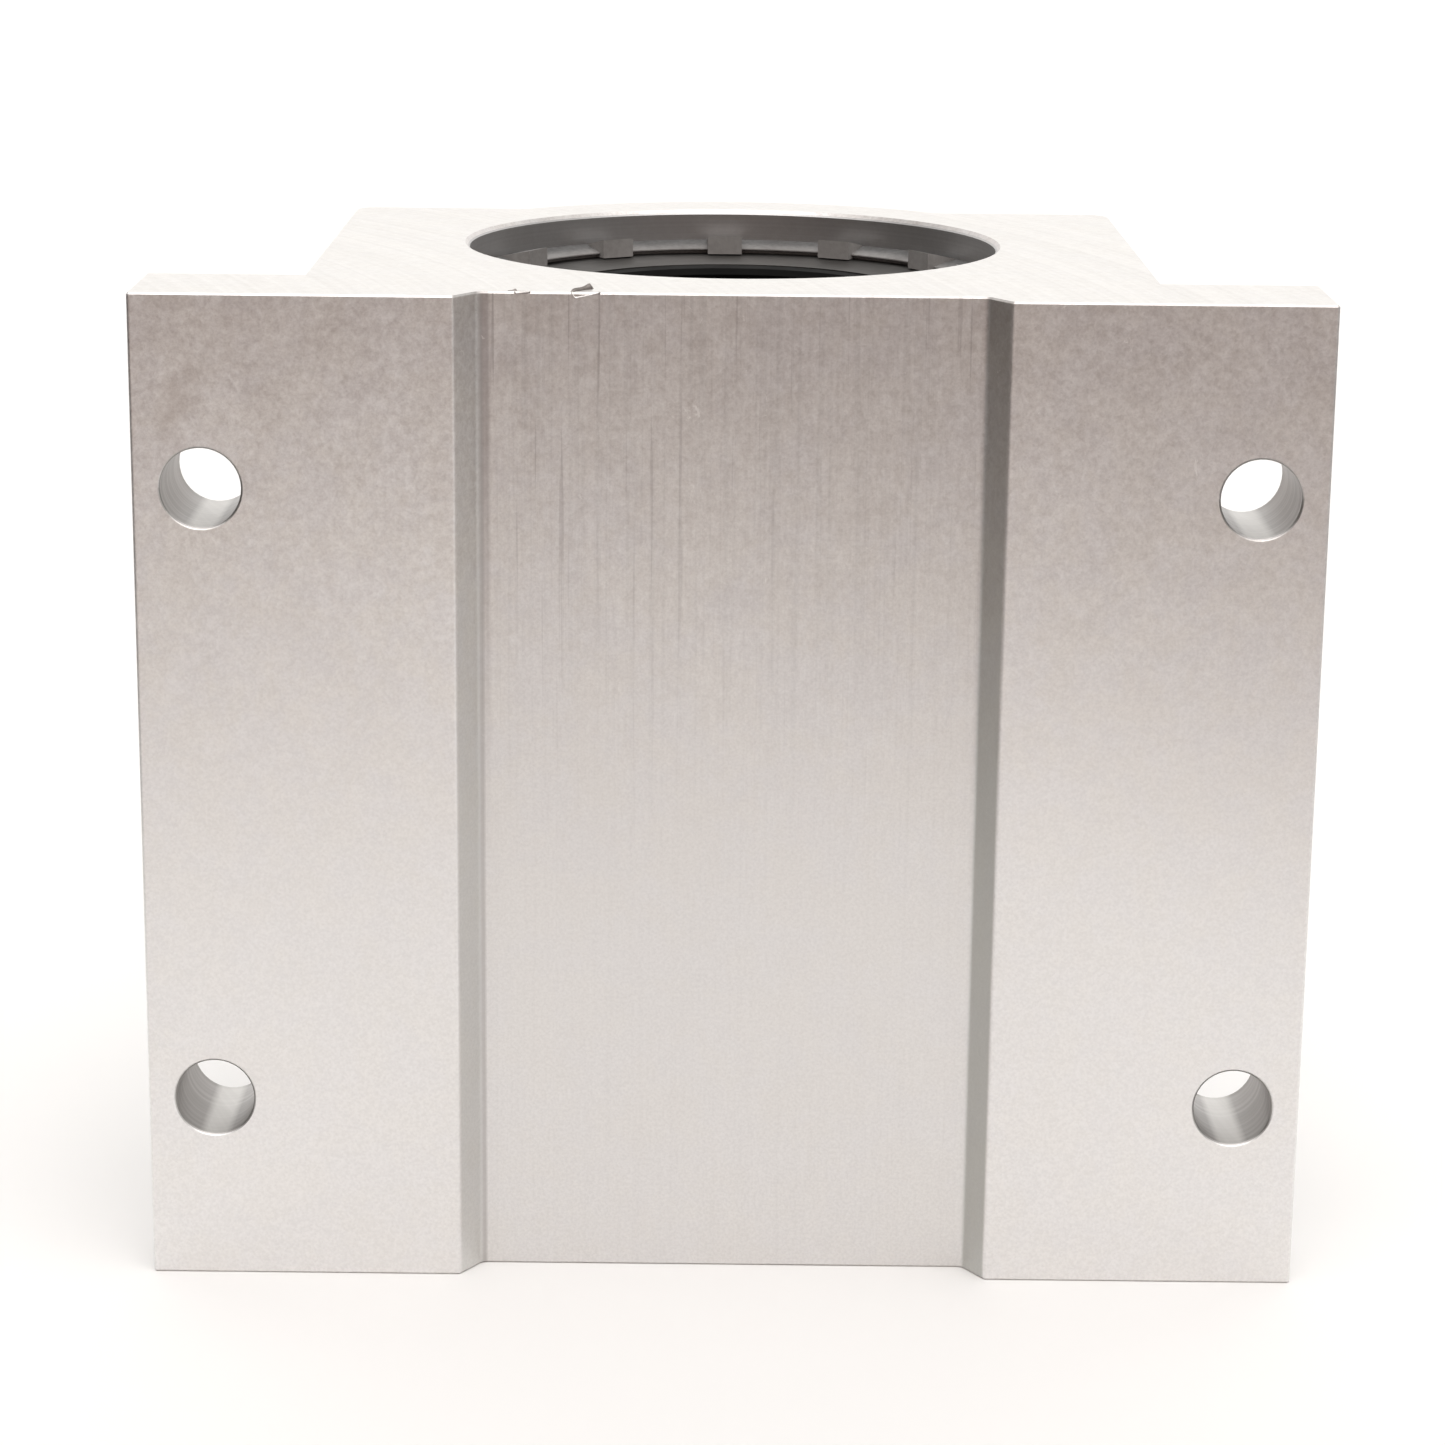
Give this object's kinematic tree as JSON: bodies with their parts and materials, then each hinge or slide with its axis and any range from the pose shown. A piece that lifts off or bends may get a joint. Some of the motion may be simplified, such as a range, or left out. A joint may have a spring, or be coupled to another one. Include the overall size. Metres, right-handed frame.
{
  "type": "linear ball bushing pillow block",
  "caption": "Closed aluminium pillow block holding a self-aligning linear ball bushing with end seals, flange-mounted through drilled holes.",
  "frame": {"origin": "on the bore axis, half way along it", "axes": "+Z along the bore; -Y out of the mounting face; +Y at the crown of the hump; +X across the flanges"},
  "size_m": [0.0826, 0.0556, 0.0714],
  "materials": {
    "anodised_aluminium": "satin clear anodised extrusion",
    "sleeve_polymer": "moulded",
    "retainer_polymer": "moulded, fine satin",
    "seal_polymer": "moulded satin",
    "cover_steel": "dull pressed sheet",
    "wiper_rubber": "moulded rubber",
    "hardened_steel": "ground",
    "polished_steel": "polished",
    "plated_steel": "zinc plated"
  },
  "bodies": {
    "block": {"housing": "anodised_aluminium", "bearing_sleeve": "sleeve_polymer", "ball_retainer": "retainer_polymer", "seal_carrier_upper": "seal_polymer", "seal_cover_upper": "cover_steel", "seal_wiper_upper": "wiper_rubber", "seal_carrier_lower": "seal_polymer", "seal_cover_lower": "cover_steel", "seal_wiper_lower": "wiper_rubber", "lube_fitting": "plated_steel", "check_spring": "plated_steel"},
    "plate_1": {"bearing_plate_1": "hardened_steel"},
    "load_row_1": {"balls_load_1": "polished_steel"},
    "return_row_1": {"balls_return_1": "polished_steel"},
    "turn_upper_1": {"balls_turn_upper_1": "polished_steel"},
    "turn_lower_1": {"balls_turn_lower_1": "polished_steel"},
    "plate_2": {"bearing_plate_2": "hardened_steel"},
    "load_row_2": {"balls_load_2": "polished_steel"},
    "return_row_2": {"balls_return_2": "polished_steel"},
    "turn_upper_2": {"balls_turn_upper_2": "polished_steel"},
    "turn_lower_2": {"balls_turn_lower_2": "polished_steel"},
    "plate_3": {"bearing_plate_3": "hardened_steel"},
    "load_row_3": {"balls_load_3": "polished_steel"},
    "return_row_3": {"balls_return_3": "polished_steel"},
    "turn_upper_3": {"balls_turn_upper_3": "polished_steel"},
    "turn_lower_3": {"balls_turn_lower_3": "polished_steel"},
    "plate_4": {"bearing_plate_4": "hardened_steel"},
    "load_row_4": {"balls_load_4": "polished_steel"},
    "return_row_4": {"balls_return_4": "polished_steel"},
    "turn_upper_4": {"balls_turn_upper_4": "polished_steel"},
    "turn_lower_4": {"balls_turn_lower_4": "polished_steel"},
    "plate_5": {"bearing_plate_5": "hardened_steel"},
    "load_row_5": {"balls_load_5": "polished_steel"},
    "return_row_5": {"balls_return_5": "polished_steel"},
    "turn_upper_5": {"balls_turn_upper_5": "polished_steel"},
    "turn_lower_5": {"balls_turn_lower_5": "polished_steel"},
    "plate_6": {"bearing_plate_6": "hardened_steel"},
    "load_row_6": {"balls_load_6": "polished_steel"},
    "return_row_6": {"balls_return_6": "polished_steel"},
    "turn_upper_6": {"balls_turn_upper_6": "polished_steel"},
    "turn_lower_6": {"balls_turn_lower_6": "polished_steel"},
    "check_ball": {"check_ball": "polished_steel"}
  },
  "joints": [
    {"name": "plate_1_tilt", "type": "hinge", "parent": "block", "child": "plate_1", "pos_m": [0.0198, 0, 0], "axis": [0, 1, 0], "range_deg": [-0.5, 0.5]},
    {"name": "load_run_1", "type": "slide", "parent": "block", "child": "load_row_1", "axis": [0, 0, 1], "range_m": [-0.00211, 0.00211]},
    {"name": "return_run_1", "type": "slide", "parent": "block", "child": "return_row_1", "axis": [0, 0, 1], "range_m": [-0.00211, 0.00211]},
    {"name": "turn_upper_run_1", "type": "hinge", "parent": "block", "child": "turn_upper_1", "pos_m": [0.01454, 0.00403, 0.01899], "axis": [-0.9994, -0.0353, 0], "range_deg": [-30, 30]},
    {"name": "turn_lower_run_1", "type": "hinge", "parent": "block", "child": "turn_lower_1", "pos_m": [0.01454, 0.00403, -0.01899], "axis": [-0.9994, -0.0353, 0], "range_deg": [-30, 30]},
    {"name": "plate_2_tilt", "type": "hinge", "parent": "block", "child": "plate_2", "pos_m": [0.0099, 0.01715, 0], "axis": [-0.866, 0.5, 0], "range_deg": [-0.5, 0.5]},
    {"name": "load_run_2", "type": "slide", "parent": "block", "child": "load_row_2", "axis": [0, 0, 1], "range_m": [-0.00211, 0.00211]},
    {"name": "return_run_2", "type": "slide", "parent": "block", "child": "return_row_2", "axis": [0, 0, 1], "range_m": [-0.00211, 0.00211]},
    {"name": "turn_upper_run_2", "type": "hinge", "parent": "block", "child": "turn_upper_2", "pos_m": [0.00378, 0.01461, 0.01899], "axis": [-0.4692, -0.8831, 0], "range_deg": [-30, 30]},
    {"name": "turn_lower_run_2", "type": "hinge", "parent": "block", "child": "turn_lower_2", "pos_m": [0.00378, 0.01461, -0.01899], "axis": [-0.4692, -0.8831, 0], "range_deg": [-30, 30]},
    {"name": "plate_3_tilt", "type": "hinge", "parent": "block", "child": "plate_3", "pos_m": [-0.0099, 0.01715, 0], "axis": [-0.866, -0.5, 0], "range_deg": [-0.5, 0.5]},
    {"name": "load_run_3", "type": "slide", "parent": "block", "child": "load_row_3", "axis": [0, 0, 1], "range_m": [-0.00211, 0.00211]},
    {"name": "return_run_3", "type": "slide", "parent": "block", "child": "return_row_3", "axis": [0, 0, 1], "range_m": [-0.00211, 0.00211]},
    {"name": "turn_upper_run_3", "type": "hinge", "parent": "block", "child": "turn_upper_3", "pos_m": [-0.01076, 0.01058, 0.01899], "axis": [0.5302, -0.8479, 0], "range_deg": [-30, 30]},
    {"name": "turn_lower_run_3", "type": "hinge", "parent": "block", "child": "turn_lower_3", "pos_m": [-0.01076, 0.01058, -0.01899], "axis": [0.5302, -0.8479, 0], "range_deg": [-30, 30]},
    {"name": "plate_4_tilt", "type": "hinge", "parent": "block", "child": "plate_4", "pos_m": [-0.0198, 0, 0], "axis": [0, -1, 0], "range_deg": [-0.5, 0.5]},
    {"name": "load_run_4", "type": "slide", "parent": "block", "child": "load_row_4", "axis": [0, 0, 1], "range_m": [-0.00211, 0.00211]},
    {"name": "return_run_4", "type": "slide", "parent": "block", "child": "return_row_4", "axis": [0, 0, 1], "range_m": [-0.00211, 0.00211]},
    {"name": "turn_upper_run_4", "type": "hinge", "parent": "block", "child": "turn_upper_4", "pos_m": [-0.01454, -0.00403, 0.01899], "axis": [0.9994, 0.0353, 0], "range_deg": [-30, 30]},
    {"name": "turn_lower_run_4", "type": "hinge", "parent": "block", "child": "turn_lower_4", "pos_m": [-0.01454, -0.00403, -0.01899], "axis": [0.9994, 0.0353, 0], "range_deg": [-30, 30]},
    {"name": "plate_5_tilt", "type": "hinge", "parent": "block", "child": "plate_5", "pos_m": [-0.0099, -0.01715, 0], "axis": [0.866, -0.5, 0], "range_deg": [-0.5, 0.5]},
    {"name": "load_run_5", "type": "slide", "parent": "block", "child": "load_row_5", "axis": [0, 0, 1], "range_m": [-0.00211, 0.00211]},
    {"name": "return_run_5", "type": "slide", "parent": "block", "child": "return_row_5", "axis": [0, 0, 1], "range_m": [-0.00211, 0.00211]},
    {"name": "turn_upper_run_5", "type": "hinge", "parent": "block", "child": "turn_upper_5", "pos_m": [-0.00378, -0.01461, 0.01899], "axis": [0.4692, 0.8831, 0], "range_deg": [-30, 30]},
    {"name": "turn_lower_run_5", "type": "hinge", "parent": "block", "child": "turn_lower_5", "pos_m": [-0.00378, -0.01461, -0.01899], "axis": [0.4692, 0.8831, 0], "range_deg": [-30, 30]},
    {"name": "plate_6_tilt", "type": "hinge", "parent": "block", "child": "plate_6", "pos_m": [0.0099, -0.01715, 0], "axis": [0.866, 0.5, 0], "range_deg": [-0.5, 0.5]},
    {"name": "load_run_6", "type": "slide", "parent": "block", "child": "load_row_6", "axis": [0, 0, 1], "range_m": [-0.00211, 0.00211]},
    {"name": "return_run_6", "type": "slide", "parent": "block", "child": "return_row_6", "axis": [0, 0, 1], "range_m": [-0.00211, 0.00211]},
    {"name": "turn_upper_run_6", "type": "hinge", "parent": "block", "child": "turn_upper_6", "pos_m": [0.01076, -0.01058, 0.01899], "axis": [-0.5302, 0.8479, 0], "range_deg": [-30, 30]},
    {"name": "turn_lower_run_6", "type": "hinge", "parent": "block", "child": "turn_lower_6", "pos_m": [0.01076, -0.01058, -0.01899], "axis": [-0.5302, 0.8479, 0], "range_deg": [-30, 30]},
    {"name": "check_ball_lift", "type": "slide", "parent": "block", "child": "check_ball", "axis": [0, -1, 0], "range_m": [0, 0.0006], "stiffness_N_per_m": 50, "springref_m": -0.001, "deforming": ["check_spring"]}
  ],
  "couplings": [
    {"joint": "return_run_1", "follows": "load_run_1", "ratio": -1},
    {"joint": "turn_upper_run_1", "follows": "load_run_1", "rad_per_m": 248.14},
    {"joint": "turn_lower_run_1", "follows": "load_run_1", "rad_per_m": 248.14},
    {"joint": "return_run_2", "follows": "load_run_2", "ratio": -1},
    {"joint": "turn_upper_run_2", "follows": "load_run_2", "rad_per_m": 248.14},
    {"joint": "turn_lower_run_2", "follows": "load_run_2", "rad_per_m": 248.14},
    {"joint": "return_run_3", "follows": "load_run_3", "ratio": -1},
    {"joint": "turn_upper_run_3", "follows": "load_run_3", "rad_per_m": 248.14},
    {"joint": "turn_lower_run_3", "follows": "load_run_3", "rad_per_m": 248.14},
    {"joint": "return_run_4", "follows": "load_run_4", "ratio": -1},
    {"joint": "turn_upper_run_4", "follows": "load_run_4", "rad_per_m": 248.14},
    {"joint": "turn_lower_run_4", "follows": "load_run_4", "rad_per_m": 248.14},
    {"joint": "return_run_5", "follows": "load_run_5", "ratio": -1},
    {"joint": "turn_upper_run_5", "follows": "load_run_5", "rad_per_m": 248.14},
    {"joint": "turn_lower_run_5", "follows": "load_run_5", "rad_per_m": 248.14},
    {"joint": "return_run_6", "follows": "load_run_6", "ratio": -1},
    {"joint": "turn_upper_run_6", "follows": "load_run_6", "rad_per_m": 248.14},
    {"joint": "turn_lower_run_6", "follows": "load_run_6", "rad_per_m": 248.14}
  ]
}
